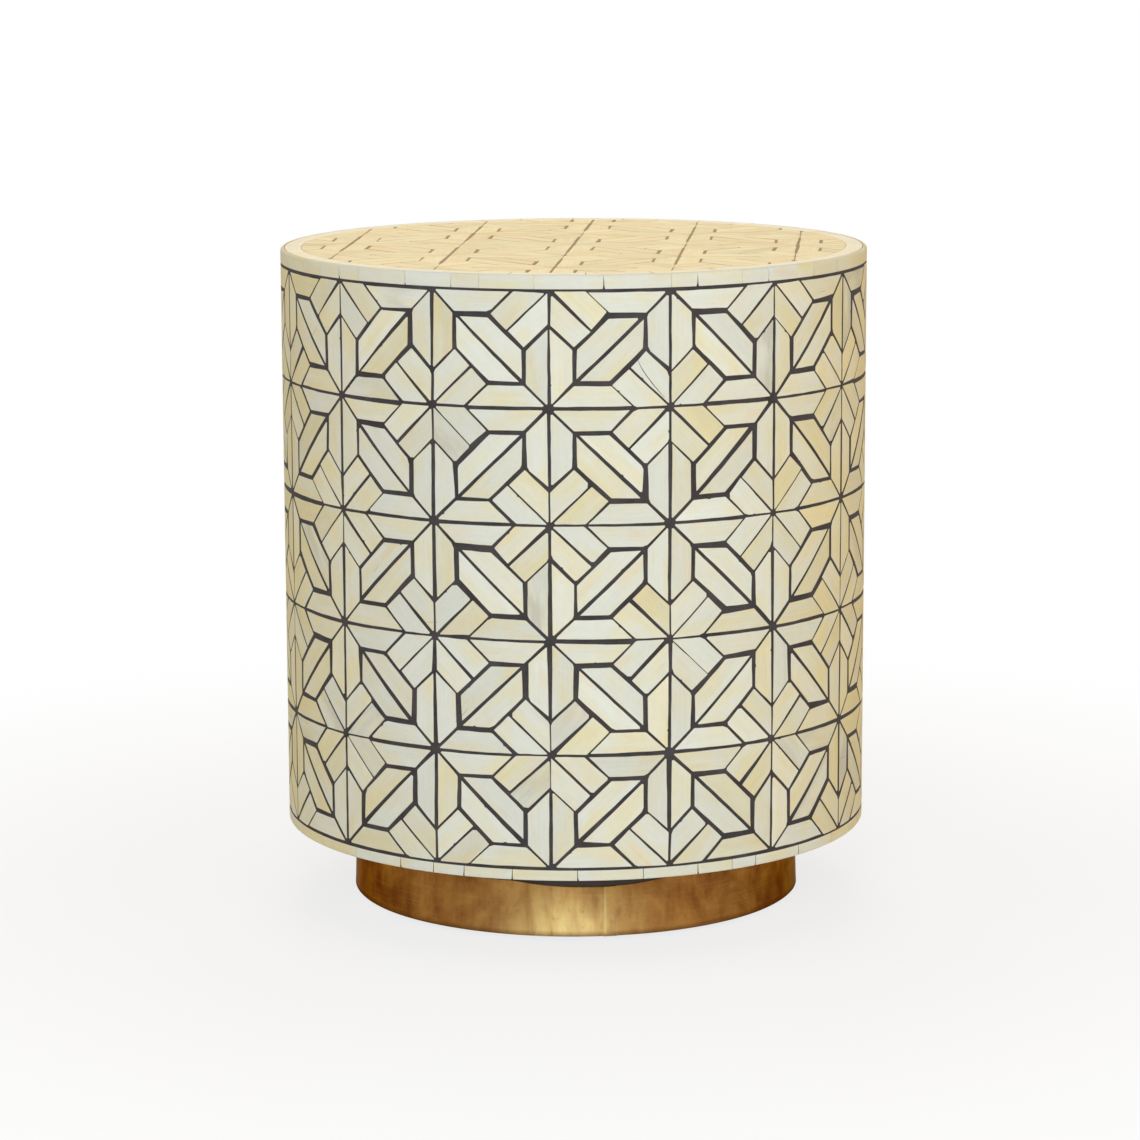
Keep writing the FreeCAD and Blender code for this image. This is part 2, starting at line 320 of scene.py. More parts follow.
def brass_material():
    """Aged brass sheet: blotches, rubbed places that are partly a painted highlight, dulled places that are
    partly painted shade, fine lines round the band, and painted shade at its foot.
    """
    shade = Shade("aged_brass")
    place = shade.object_place()
    height = shade.node("ShaderNodeSeparateXYZ")
    shade.join(place, height.inputs[0])
    blotch = shade.noise(place, 30.0, 5.0, 0.58, 0.6)
    spots = shade.noise(place, 210.0, 3.0, 0.6)
    lines = shade.noise(shade.scaled(place, (22.0, 22.0, 900.0)), 1.0, 2.0, 0.6)
    smear = shade.noise(shade.scaled(place, (95.0, 95.0, 34.0)), 1.0, 4.0, 0.6, 0.5)
    blotched = shade.stretch(blotch, 0.38, 0.62, -0.1, 0.66)
    share = shade.total(blotched, shade.stretch(smear, 0.36, 0.66, 0.0, 0.5))
    colour = shade.mix(shade.stretch(share, 0.0, 1.0), BRASS_DARK, BRASS_PALE)
    marks = shade.node("ShaderNodeSeparateColor")
    shade.join(shade.attribute("tint").outputs["Color"], marks.inputs["Color"])
    # Rubbed wear, with a painted highlight low on the band's front and along the seam
    rubbed_and_highlight = shade.product(marks.outputs[1], shade.stretch(smear, 0.32, 0.62, 0.45, 1.0))
    colour = shade.mix(rubbed_and_highlight, colour, BRASS_RUBBED_AND_HIGHLIGHT)
    # Dull tarnish, with painted shade on the band's sides
    dulled_and_shade = shade.product(marks.outputs[2], shade.stretch(blotch, 0.35, 0.6, 1.0, 0.55))
    colour = shade.mix(dulled_and_shade, colour, BRASS_DULLED_AND_SHADE)
    colour = shade.mix(shade.stretch(spots, 0.6, 0.74, 0.0, 0.25), colour, BRASS_SPOTS)
    # Painted shade darkening the foot of the band by the floor
    foot_shade_full, foot_shade_top = plinth_low.z - FOOT_SHADE_FULL, plinth_low.z - FOOT_SHADE_BEGINS
    foot = shade.stretch(height.outputs["Z"], foot_shade_full, foot_shade_top, 0.85, 0.0)
    colour = shade.mix(foot, colour, BRASS_FOOT_SHADE)
    colour = shade.mix(shade.stretch(lines, 0.55, 0.72, 0.0, 0.1), colour, BRASS_LINES)
    rough = shade.stretch(share, 0.0, 1.0, 0.44, 0.34)
    rough = shade.total(rough, shade.stretch(spots, 0.4, 0.7, 0.0, 0.1))
    shade.bump(shade.total(lines, shade.product(blotch, 2.0)), 0.1, 0.4 * MM)
    return shade.finish(colour, rough, Metallic=1.0, Specular_Tint=BRASS_EDGE_TINT)


def wood_material(name, pale, dark, roughness):
    """Timber with rings and fibres along the board."""
    shade = Shade(name)
    place = shade.scaled(shade.object_place(), (9.0, 90.0, 90.0))
    rings = shade.noise(place, 1.0, 4.0, 0.6, 1.2)
    fibres = shade.noise(shade.scaled(place, (1.0, 14.0, 14.0)), 3.0, 3.0, 0.6)
    ringed = shade.stretch(rings, 0.35, 0.65, 0.0, 0.7)
    share = shade.total(ringed, shade.stretch(fibres, 0.45, 0.75, 0.0, 0.35))
    colour = shade.mix(shade.stretch(share, 0.0, 1.0), pale, dark)
    shade.bump(fibres, 0.2, 0.3 * MM)
    return shade.finish(colour, shade.stretch(fibres, 0.3, 0.7, roughness, roughness + 0.14))


def steel_material():
    """Zinc-plated steel with a dull, spotted plating."""
    shade = Shade("plated_steel")
    place = shade.object_place()
    plating = shade.noise(place, 420.0, 3.0, 0.6)
    colour = shade.mix(shade.stretch(plating, 0.35, 0.65), linear(142, 143, 146), linear(186, 187, 189))
    shade.bump(plating, 0.1, 0.2 * MM)
    return shade.finish(colour, shade.stretch(plating, 0.3, 0.7, 0.3, 0.46), Metallic=1.0)


def felt_material():
    """Pressed felt: matted fibres and specks."""
    shade = Shade("grey_felt")
    place = shade.object_place()
    fibres = shade.noise(place, 1500.0, 4.0, 0.7, 1.5)
    patches = shade.noise(place, 120.0, 2.0, 0.5)
    colour = shade.mix(shade.stretch(fibres, 0.35, 0.7), linear(54, 50, 46), linear(98, 92, 86))
    colour = shade.mix(shade.stretch(patches, 0.4, 0.7, 0.0, 0.3), colour, linear(120, 112, 102))
    shade.bump(fibres, 0.6, 0.6 * MM)
    return shade.finish(colour, 0.95, Sheen_Weight=0.3)


# Meshes of many small closed solids


MAP_GAP = 1.2 * MM
SLIP_SHARP = 24.0
ROUND_SHARP = 40.0


class Sheaf:
    """Gathers closed solids into one mesh, with a tint and a grain place on every point."""

    def __init__(self):
        self.points, self.faces, self.tints, self.grains, self.islands = [], [], [], [], []

    def add(self, points, faces, tints, grains, flats=None):
        """Adds a solid. flats gives each face its places on the flat, or None where it is hidden."""
        first = len(self.points)
        self.points += points
        self.faces += [[first + index for index in face] for face in faces]
        self.tints += tints
        self.grains += grains
        if flats:
            self.islands.append((flats, [len(face) for face in faces]))

    def bake_map(self, mesh):
        """Lays the solids out side by side on a map, with the hidden faces in one corner."""
        spans = []
        for flats, _ in self.islands:
            shown = [spot for flat in flats if flat for spot in flat]
            low = [min(spot[axis] for spot in shown) for axis in (0, 1)]
            spans.append((low, [max(spot[axis] for spot in shown) - low[axis] for axis in (0, 1)]))
        gap = MAP_GAP
        wide = max(span[0] for _, span in spans) + gap
        high = max(span[1] for _, span in spans) + gap
        across = max(1, round(math.sqrt(len(spans) * high / wide)))
        side = max(across * wide, (math.ceil(len(spans) / across) + 0.5) * high)
        corner = 0.4 * high / side
        values = []
        for number, ((flats, counts), (low, _)) in enumerate(zip(self.islands, spans)):
            left = (number % across) * wide + gap / 2
            foot = (number // across + 0.5) * high + gap / 2
            for flat, count in zip(flats, counts):
                if flat:
                    for x, y in flat:
                        values += [(left + x - low[0]) / side, (foot + y - low[1]) / side]
                else:
                    for index in range(count):
                        turn = 2 * math.pi * index / count
                        values.append(corner * (0.5 + 0.4 * math.cos(turn)))
                        values.append(corner * (0.5 + 0.4 * math.sin(turn)))
        mesh.uv_layers.new(name="OFBake").uv.foreach_set("vector", values)

    def piece(self, name, material, slot, *nodes, sharp=SLIP_SHARP):
        """Turns what was gathered into a piece that stands for CAD nodes."""
        mesh = bpy.data.meshes.new(name)
        mesh.from_pydata(self.points, [], self.faces)
        tint = mesh.attributes.new("tint", "FLOAT_COLOR", "POINT")
        tint.data.foreach_set("color", [value for item in self.tints for value in item])
        grain = mesh.attributes.new("grain", "FLOAT_VECTOR", "POINT")
        grain.data.foreach_set("vector", [value for item in self.grains for value in item])
        if self.islands:
            self.bake_map(mesh)
        mesh.polygons.foreach_set("use_smooth", [True] * len(mesh.polygons))
        mesh.set_sharp_from_angle(angle=math.radians(sharp))
        mesh.materials.append(material)
        made = bpy.data.objects.new(name, mesh)
        bpy.context.scene.collection.objects.link(made)
        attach(made, "root")
        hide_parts(*nodes)


def ringed_faces(first, second, count):
    """Faces between two closed rings of points, given by the numbers that the rings begin with."""
    faces = []
    for index in range(count):
        following = (index + 1) % count
        faces.append([first + index, second + index, second + following, first + following])
    return faces


def round_point(turn, radius, height):
    """Point at an angle from the front, a radius and a height."""
    return (radius * math.sin(turn), -radius * math.cos(turn), height)


def wall_place(x, y, depth):
    """Point of the wall from its arc length, its height and how far it stands out of the face."""
    return round_point(x / RADIUS, RADIUS + depth, y)


def top_place(x, y, depth):
    """Point of the top from its place and how far it stands out of the face."""
    return (x, y, TABLE_TOP + depth)


def bone_tint(side_shade=0.0, calm=False):
    """Lightness, warmth and greyness of one slip of bone."""
    light = rng.gauss(1.0, 0.012 if calm else 0.03)
    kind = rng.random()
    if kind < 0.6 or calm:
        return [light, max(0.0, rng.gauss(0.12, 0.08)) + side_shade, 0.08]
    if kind < 0.82:
        return [light - 0.005, rng.uniform(0.18, 0.4) + side_shade, 0.1]
    if kind < 0.9:
        return [light - 0.012, rng.uniform(0.4, 0.62) + side_shade, 0.1]
    if kind < 0.93:
        return [light - 0.02, rng.uniform(0.6, 0.8) + side_shade, 0.2]
    return [light - 0.01, rng.uniform(0.0, 0.25) + side_shade, rng.uniform(0.4, 0.8)]


# Painted warm shade on the wall's bone: none about an angle at the front, and beyond a reach it grows to the
# most over another

UNSHADED_TURN = math.radians(4.0)
UNSHADED_REACH = 0.5
SIDE_SHADE_REACH = 0.9
MOST_SIDE_SHADE = 0.6


def wall_side_shade(x):
    """Painted warm shade: extra warmth of the wall's bone away from its front."""
    away = abs(math.remainder(x / RADIUS - UNSHADED_TURN, 2 * math.pi))
    share = min(1.0, max(0.0, (away - UNSHADED_REACH) / SIDE_SHADE_REACH))
    return MOST_SIDE_SHADE * share * share * (3 - 2 * share)


# Outlines of the slips in a unit cell, with the kind of joint along each side.
# W is half the width of a bar, and D how far a star arm reaches along the cell's side.

W = (math.sqrt(2.0) - 1.0) / 2.0
D = 1.0 - 1.0 / math.sqrt(2.0)
HALF = W + D
TIP = (1.0 - W - D / 2.0, W + D / 2.0)
SLIPS = {
    "upright_bars": [(((0, 0), (W, W), (W, HALF), (0, 1 - D)), ("ray", "side", "thin", "centre"))],
    "level_bars": [(((0, 0), (1 - D, 0), (HALF, W), (W, W)), ("centre", "thin", "side", "ray"))],
    "diagonal_bars": [
        (((W, W), (HALF, W), (1 - W, HALF), (1 - W, 1 - W)), ("end", "long", "end", "centre")),
    ],
    "star_arms": [
        (((1, 0), TIP, (HALF, W), (1 - D, 0)), ("arm", "long", "thin", "line")),
        (((1, 0), (1, D), (1 - W, HALF), TIP), ("line", "thin", "long", "arm")),
    ],
}
# Half width of each kind of joint in millimetres with its spread, the share of joints that gape,
# and how much narrower the joint is on the top
HALF_GAPS = {
    "centre": (1.1, 0.28), "long": (1.24, 0.42), "ray": (0.86, 0.26), "side": (1.34, 0.4),
    "end": (1.5, 0.45), "thin": (0.64, 0.24), "line": (0.68, 0.24), "arm": (0.6, 0.22),
}
WIDE_SHARES = {
    "centre": 0.08, "long": 0.16, "ray": 0.06, "side": 0.16,
    "end": 0.25, "thin": 0.12, "line": 0.1, "arm": 0.36,
}
TOP_NARROWING = {
    "centre": 0.78, "long": 0.75, "ray": 0.4, "side": 1.0,
    "end": 0.28, "thin": 0.35, "line": 0.5, "arm": 0.35,
}
ASLANT_NARROWING = 0.45
SMALLEST_HALF_GAP = 0.22
STAR_CENTRES = {(0, 0), (1, 0)}


def half_gap(kind, narrowing=1.0):
    """Half widths of a joint at the two ends of a side, in metres."""
    middle, spread = HALF_GAPS[kind]
    middle = rng.uniform(middle - spread, middle + spread)
    taper = rng.uniform(-0.8, 0.8) * spread
    ends = [middle + taper, middle - taper]
    if rng.random() < WIDE_SHARES[kind]:
        ends[rng.randrange(2)] += rng.uniform(0.5, 1.1)
        ends[rng.randrange(2)] += rng.uniform(0.0, 0.4)
    return [max(SMALLEST_HALF_GAP, end) * narrowing * MM for end in ends]


def signed_area(corners):
    """Area of an outline, which is below nought where the corners run clockwise."""
    return sum(a[0] * b[1] - b[0] * a[1] for a, b in zip(corners, corners[1:] + corners[:1])) / 2


def anticlockwise(corners, kinds):
    """The corners anticlockwise, with the kinds of the sides that follow them."""
    if signed_area(corners) > 0:
        return corners, kinds
    return corners[::-1], kinds[::-1][1:] + kinds[::-1][:1]


def drawn_in(corners, gaps):
    """Convex outline with each side moved inward by its own gaps at its two ends."""
    lines = []
    for (ax, ay), (bx, by), (first, last) in zip(corners, corners[1:] + corners[:1], gaps):
        length = math.hypot(bx - ax, by - ay)
        nx, ny = (ay - by) / length, (bx - ax) / length
        ax, ay, bx, by = ax + first * nx, ay + first * ny, bx + last * nx, by + last * ny
        length = math.hypot(bx - ax, by - ay)
        nx, ny = (ay - by) / length, (bx - ax) / length
        lines.append((nx, ny, nx * ax + ny * ay))
    moved = []
    for (ax, ay, ac), (bx, by, bc) in zip(lines[-1:] + lines[:-1], lines):
        cross = ax * by - ay * bx
        moved.append(((ac * by - bc * ay) / cross, (ax * bc - bx * ac) / cross))
    return moved


BROKEN_SHARE = 0.18
WAVER_STEP = 9.0 * MM
CHIPPED_LENGTH = 18.0 * MM
CHIPPED_SHARE = 0.06


def chop(at_node):
    """How far a corner is blunted, more so at the middle of a star."""
    if at_node:
        return rng.uniform(0.9, 2.0) * MM
    if rng.random() < BROKEN_SHARE:
        return rng.uniform(1.2, 2.8) * MM
    return rng.uniform(0.3, 0.8) * MM


def hand_cut(corners, at_node):
    """Outline with blunted corners, sides that waver or are chipped, and a small shift and turn."""
    cx = sum(x for x, _ in corners) / len(corners)
    cy = sum(y for _, y in corners) / len(corners)
    turn = rng.gauss(0.0, math.radians(0.3))
    shift_x, shift_y = rng.gauss(0.0, 0.13) * MM, rng.gauss(0.0, 0.13) * MM
    c, s = math.cos(turn), math.sin(turn)
    corners = [
        (cx + shift_x + c * (x - cx) - s * (y - cy), cy + shift_y + s * (x - cx) + c * (y - cy))
        for x, y in corners
    ]
    chops = [chop(flag) for flag in at_node]
    outline = []
    following = corners[1:] + corners[:1]
    for (ax, ay), (bx, by), near, far in zip(corners, following, chops, chops[1:] + chops[:1]):
        length = math.hypot(bx - ax, by - ay)
        ex, ey = (bx - ax) / length, (by - ay) / length
        first = min(near * rng.uniform(0.6, 1.0), 0.25 * length)
        last = length - min(far * rng.uniform(0.6, 1.0), 0.25 * length)
        inner = max(0, int((last - first) / WAVER_STEP))
        stops = []
        for step in range(inner + 2):
            off = 0.0 if step in (0, inner + 1) else rng.uniform(-0.16, 0.16) * MM
            stops.append((first + (last - first) * step / (inner + 1), off))
        if length > CHIPPED_LENGTH and rng.random() < CHIPPED_SHARE:
            middle, wide = rng.uniform(0.25, 0.75) * length, rng.uniform(0.8, 1.6) * MM
            stops = [stop for stop in stops if abs(stop[0] - middle) > 1.5 * wide]
            stops += [(middle - wide, 0.0), (middle, rng.uniform(0.35, 0.7) * MM), (middle + wide, 0.0)]
        for along, off in sorted(stops):
            outline.append((ax + along * ex - off * ey, ay + along * ey + off * ex))
    return outline


def bevelled(outline, width):
    """Outline drawn in by a small even width at its corners."""
    inner = []
    count = len(outline)
    for index, (x, y) in enumerate(outline):
        px, py = outline[index - 1]
        qx, qy = outline[(index + 1) % count]
        a, b = math.hypot(x - px, y - py), math.hypot(qx - x, qy - y)
        ax, ay = (py - y) / a, (x - px) / a
        bx, by = (y - qy) / b, (qx - x) / b
        share = width / max(0.35, 1.0 + ax * bx + ay * by)
        inner.append((x + (ax + bx) * share, y + (ay + by) * share))
    return inner


def grain_place(x, y, along):
    """A place as its distances along and across the grain."""
    return (x * along[0] + y * along[1], y * along[0] - x * along[1])


EASED_EDGE = 0.22 * MM
EASED_DROP = 0.13 * MM
FACE_DEPTH = 0.05 * MM
SHOWN_DEPTH = 0.2 * MM
BACK_CLEARANCE = 0.1 * MM


def add_slip(sheaf, outline, place, along, step=None, calm=False):
    """Adds one slip of bone with eased edges, bent in flats of a width given by step."""
    # Slips of the wall get painted warm shade away from the front
    tint = bone_tint(wall_side_shade(outline[0][0]) if step else 0.0, calm)
    seeds = (rng.uniform(0.0, 40.0), rng.uniform(0.0, 40.0), rng.uniform(0.0, 40.0))
    sink = -rng.uniform(0.0, 0.05) * MM
    rings = (
        (bevelled(outline, EASED_EDGE), sink),
        (outline, sink - EASED_DROP),
        (outline, BACK_CLEARANCE - BONE),
    )
    solid = bmesh.new()
    made = [[solid.verts.new((x, y, depth)) for x, y in ring] for ring, depth in rings]
    solid.faces.new(made[0])
    solid.faces.new(made[2][::-1])
    count = len(outline)
    for upper, lower in zip(made, made[1:]):
        for index in range(count):
            following = (index + 1) % count
            solid.faces.new((upper[index], lower[index], lower[following], upper[following]))
    if step:
        low, high = min(x for x, _ in outline), max(x for x, _ in outline)
        for line in range(math.floor(low / step) + 1, math.ceil(high / step)):
            bmesh.ops.bisect_plane(
                solid, geom=solid.verts[:] + solid.edges[:] + solid.faces[:], dist=1e-7,
                plane_co=(line * step, 0, 0), plane_no=(1, 0, 0),
            )
    solid.verts.ensure_lookup_table()
    solid.verts.index_update()
    cx = sum(x for x, _ in outline) / count
    cy = sum(y for _, y in outline) / count
    points, tints, grains = [], [], []
    for vertex in solid.verts:
        x, y, depth = vertex.co
        points.append(place(x, y, depth))
        tints.append((*tint, 1.0 if depth > sink - FACE_DEPTH else 0.0))
        down, over = grain_place(x - cx, y - cy, along)
        grains.append((down + seeds[0], over + seeds[1], depth + seeds[2]))
    faces, flats = [], []
    for face in solid.faces:
        faces.append([vertex.index for vertex in face.verts])
        if min(vertex.co.z for vertex in face.verts) > sink - SHOWN_DEPTH:
            flats.append([grain_place(vertex.co.x - cx, vertex.co.y - cy, along) for vertex in face.verts])
        else:
            flats.append(None)
    solid.free()
    sheaf.add(points, faces, tints, grains, flats)


def cell_slips(mirrored):
    """Outlines and joint kinds of every slip in a cell, each with its half-turn twin."""
    for kind, items in SLIPS.items():
        for corners, sides in items:
            for turned in (False, True):
                outline = [(1 - u, 1 - v) for u, v in corners] if turned else list(corners)
                if mirrored:
                    outline = [(1 - u, v) for u, v in outline]
                yield kind, outline, list(sides), [corner in STAR_CENTRES for corner in corners]


def grain_along(corners):
    """Direction of the longest side."""
    sides = [(b[0] - a[0], b[1] - a[1]) for a, b in zip(corners, corners[1:] + corners[:1])]
    dx, dy = max(sides, key=lambda side: math.hypot(*side))
    length = math.hypot(dx, dy)
    return (dx / length, dy / length)


def cut_to_round(corners, radius):
    """Part of a convex outline inside a circle about the centre."""
    sides = 180
    for side in range(sides):
        turn = 2 * math.pi * side / sides
        nx, ny = math.cos(turn), math.sin(turn)
        kept = []
        for (ax, ay), (bx, by) in zip(corners, corners[1:] + corners[:1]):
            a, b = radius - nx * ax - ny * ay, radius - nx * bx - ny * by
            if a >= 0:
                kept.append((ax, ay))
            if a * b < 0:
                share = a / (a - b)
                kept.append((ax + share * (bx - ax), ay + share * (by - ay)))
        corners = kept
        if len(corners) < 3:
            return []
    return corners


CRACK_FACE = 0.012 * MM
CRACK_DEPTH = 0.5 * MM


def add_crack(sheaf, spots, width):
    """Adds a hairline of resin that fills a crack along a line of places on the wall."""
    edge = []
    for index, (x, y) in enumerate(spots):
        ax, ay = spots[max(0, index - 1)]
        bx, by = spots[min(len(spots) - 1, index + 1)]
        length = math.hypot(bx - ax, by - ay)
        half = width * (0.25 + 0.75 * math.sin(math.pi * (index + 0.5) / len(spots))) / 2
        edge.append((x, y, -half * (by - ay) / length, half * (bx - ax) / length))
    outline = [(x - dx, y - dy) for x, y, dx, dy in edge]
    outline += [(x + dx, y + dy) for x, y, dx, dy in edge[::-1]]
    count = len(outline)
    points = [wall_place(x, y, depth) for depth in (CRACK_FACE, -CRACK_DEPTH) for x, y in outline]
    faces = []
    for index in range(len(spots) - 1):
        a, b, c, d = index, index + 1, count - 2 - index, count - 1 - index
        faces += [[a, b, c, d], [count + d, count + c, count + b, count + a]]
    faces += ringed_faces(0, count, count)
    sheaf.add(points, faces, [PLAIN_TINT] * len(points), points)


def smooth_line(spots, steps):
    """Places along a smooth line from the first of four places to the last, drawn to the other two."""
    line = []
    for step in range(steps + 1):
        t = step / steps
        weights = ((1 - t) ** 3, 3 * t * (1 - t) ** 2, 3 * t * t * (1 - t), t ** 3)
        x = sum(weight * spot[0] for weight, spot in zip(weights, spots))
        y = sum(weight * spot[1] for weight, spot in zip(weights, spots))
        line.append((x, y))
    return line


# Crack in the slip above and left of the star at column 1, row 1, in parts of a cell
CRACK = [(0.722, 0.585), (0.765, 0.70), (0.86, 0.815), (0.953, 0.922)]
SHORT_CRACKS = 22


def wall_cracks(sheaf):
    """A long crack on the front and a few short ones round the drum."""
    add_crack(sheaf, smooth_line([(u * COLUMN, FIELD_TOP - v * ROW) for u, v in CRACK], 12), 0.5 * MM)
    for _ in range(SHORT_CRACKS):
        column, row = rng.uniform(0, COLUMNS), rng.uniform(0.1, ROWS - 0.1)
        turn = rng.choice((0.0, 0.25, 0.5, 0.75)) * math.pi + rng.uniform(-0.06, 0.06)
        length = rng.uniform(7.0, 15.0) * MM
        x, y = column * COLUMN, FIELD_TOP - row * ROW
        spots = []
        for part in (-0.5, -0.2, 0.2, 0.5):
            off = rng.uniform(-0.5, 0.5) * MM
            dx, dy = part * length * math.cos(turn), part * length * math.sin(turn)
            spots.append((x + dx - off * math.sin(turn), y + dy + off * math.cos(turn)))
        add_crack(sheaf, smooth_line(spots, 6), rng.uniform(0.1, 0.2) * MM)


def side_inlay():
    """Slips of bone on the wall, gathered by kind."""
    sheaves = {kind: Sheaf() for kind in SLIPS}
    for row in range(ROWS):
        for column in range(COLUMNS):
            for kind, unit, sides, at_node in cell_slips((column + row) % 2 == 0):
                real = [((column + u) * COLUMN, FIELD_TOP - (row + v) * ROW) for u, v in unit]
                turned, sides = anticlockwise(real, sides)
                at_node = at_node if turned is real else at_node[::-1]
                cut = drawn_in(turned, [half_gap(side) for side in sides])
                add_slip(sheaves[kind], hand_cut(cut, at_node), wall_place, grain_along(real), FLAT_WIDTH)
    return sheaves


def top_gaps(corners, sides):
    """Half widths of the joints round a slip of the top, which are widest along the front to back lines."""
    gaps = []
    for side, (ax, _), (bx, _) in zip(sides, corners, corners[1:] + corners[:1]):
        aslant = abs(ax - bx) > 0.1 * MM
        gaps.append(half_gap(side, TOP_NARROWING[side] * (ASLANT_NARROWING if aslant else 1.0)))
    return gaps


def top_inlay():
    """Slips of bone on the top, gathered by kind and cut to the round."""
    sheaves = {kind: Sheaf() for kind in SLIPS}
    reach = math.ceil(TOP_FIELD / TOP_CELL) + 1
    for i in range(-reach, reach + 1):
        for j in range(-reach, reach + 1):
            for kind, unit, sides, at_node in cell_slips((i + j) % 2 != 0):
                real = [((i + u) * TOP_CELL, (j + v) * TOP_CELL) for u, v in unit]
                if min(math.hypot(x, y) for x, y in real) > TOP_FIELD + TOP_CELL:
                    continue
                turned, sides = anticlockwise(real, sides)
                at_node = at_node if turned is real else at_node[::-1]
                cut = drawn_in(turned, top_gaps(turned, sides))
                along = grain_along(real)
                if max(math.hypot(x, y) for x, y in cut) < TOP_FIELD - 0.4 * MM:
                    add_slip(sheaves[kind], hand_cut(cut, at_node), top_place, along)
                    continue
                cut = cut_to_round(cut, TOP_FIELD)
                if cut and abs(signed_area(cut)) > SMALLEST_OFFCUT:
                    add_slip(sheaves[kind], cut, top_place, along)
    return sheaves


def strip_turns(shortest, longest):
    """Start and end angles of strips laid end to end round the drum, with lengths in degrees."""
    lengths = []
    while sum(lengths) < 360.0:
        lengths.append(rng.uniform(shortest, longest))
    scale = 360.0 / sum(lengths)
    turns, at = [], rng.uniform(0.0, 20.0)
    for length in lengths:
        turns.append((math.radians(at), math.radians(at + length * scale)))
        at += length * scale
    return turns


NICK_HEIGHT = 2.2 * MM
NICKED_SHARE = 0.3
nick_rng = random.Random(4409)


def nick():
    """How far the lower corner of a strip's end is broken away."""
    return nick_rng.uniform(0.35, 0.95) * MM if nick_rng.random() < NICKED_SHARE else 0.0


def swept_strip(sheaf, profile, start, end):
    """Adds a strip with a profile of (radius, height) swept between two angles, some with a nicked end."""
    nicks = {0: nick() / RADIUS}
    # Painted warm shade away from the front, as on the wall's slips
    tint = bone_tint(wall_side_shade(start * RADIUS), calm=True)
    seeds = (rng.uniform(0.0, 40.0), rng.uniform(0.0, 40.0), rng.uniform(0.0, 40.0))
    steps = max(3, round(math.degrees(end - start) / 1.6))
    nicks[steps] = -nick() / RADIUS
    count = len(profile)
    foot = profile[0][1]
    points, tints, grains, faces = [], [], [], []
    for step in range(steps + 1):
        turn = start + (end - start) * step / steps
        for radius, height in profile:
            at = turn + nicks.get(step, 0.0) * max(0.0, 1.0 - (height - foot) / NICK_HEIGHT)
            points.append(round_point(at, radius, height))
            tints.append((*tint, 1.0))
            grains.append((turn * RADIUS + seeds[0], height + radius + seeds[1], seeds[2]))
    rise = [0.0]
    for (ar, az), (br, bz) in zip(profile, profile[1:] + profile[:1]):
        rise.append(rise[-1] + math.hypot(br - ar, bz - az))
    flats = []
    for step in range(steps):
        left, right = ((end - start) * RADIUS * place / steps for place in (step, step + 1))
        faces += ringed_faces(step * count, (step + 1) * count, count)
        for low, high in zip(rise, rise[1:]):
            flats.append([(left, low), (right, low), (right, high), (left, high)])
    faces.append(list(range(count))[::-1])
    faces.append([steps * count + index for index in range(count)])
    sheaf.add(points, faces, tints, grains, flats + [None, None])


def arc(radius, height, size, first, last, steps):
    """Quarter round points about a centre at a radius and height."""
    turns = [math.radians(first + (last - first) * step / steps) for step in range(steps + 1)]
    return [(radius + size * math.cos(turn), height + size * math.sin(turn)) for turn in turns]


SHORTEST_STRIP = 5.0
LONGEST_STRIP = 15.0


def rim_strips(low, high, arris_top, arris_bottom, gaps):
    """Bone edging round a rim, with a rounded arris above and below and half gaps in millimetres."""
    sheaf = Sheaf()
    inner = RADIUS - BONE
    profile = [(inner, low)]
    profile += arc(RADIUS - arris_bottom, low + arris_bottom, arris_bottom, -90, 0, 4)
    profile.append((RADIUS, low + NICK_HEIGHT))
    profile += arc(RADIUS - arris_top, high - arris_top, arris_top, 0, 90, 6)
    profile.append((inner, high))
    for start, end in strip_turns(SHORTEST_STRIP, LONGEST_STRIP):
        gap = rng.uniform(*gaps) * MM / RADIUS
        swept_strip(sheaf, profile, start + gap, end - gap)
    return sheaf


BORDER_LAP = 1.68 * MM


def border_strips():
    """Flat strips of bone round the top, inside the edging. They reach in nearly to the field."""
    sheaf = Sheaf()
    reach = BORDER_INNER - BORDER_LAP
    for start, end in strip_turns(7.0, 15.0):
        gap = rng.uniform(0.12, 0.3) * MM / RADIUS
        steps = max(3, round(math.degrees(end - start) / 2.0))
        turns = [start + gap + (end - start - 2 * gap) * step / steps for step in range(steps + 1)]
        outer = [(BORDER_OUTER * math.sin(turn), -BORDER_OUTER * math.cos(turn)) for turn in turns]
        inner = [(reach * math.sin(turn), -reach * math.cos(turn)) for turn in turns[::-1]]
        middle = (start + end) / 2
        add_slip(sheaf, outer + inner, top_place, (math.cos(middle), math.sin(middle)), calm=True)
    return sheaf


def turned_sheaf(profile, steps=240):
    """Closed profile of (radius, height) turned all the way round."""
    sheaf = Sheaf()
    count = len(profile)
    points, faces = [], []
    for step in range(steps):
        turn = 2 * math.pi * step / steps
        points += [round_point(turn, radius, height) for radius, height in profile]
        faces += ringed_faces(step * count, (step + 1) % steps * count, count)
    sheaf.add(points, faces, [PLAIN_TINT] * len(points), points)
    return sheaf


def top_resin():
    """Resin disc that fills the joints of the top just below the bone."""
    sheaf = Sheaf()
    steps = 180
    edge = RADIUS - BONE
    face = TABLE_TOP - RESIN_DROP
    back = TABLE_TOP - BONE - RESIN_BED
    turns = [2 * math.pi * step / steps for step in range(steps)]
    points = [round_point(turn, edge, height) for height in (face, back) for turn in turns]
    faces = [list(range(steps)), list(range(steps, 2 * steps))[::-1]]
    faces += ringed_faces(0, steps, steps)
    sheaf.add(points, faces, [PLAIN_TINT] * len(points), points)
    return sheaf


# The brass sheet, its lapped seam and the dip in its upper edge

BRASS = 0.8 * MM
BRASS_STEPS = 288
BRASS_LEVELS = 10
LAP_TURN = math.radians(13.0)
HALF_LAP = 4.5 * MM
LAP_EDGE = 0.0006
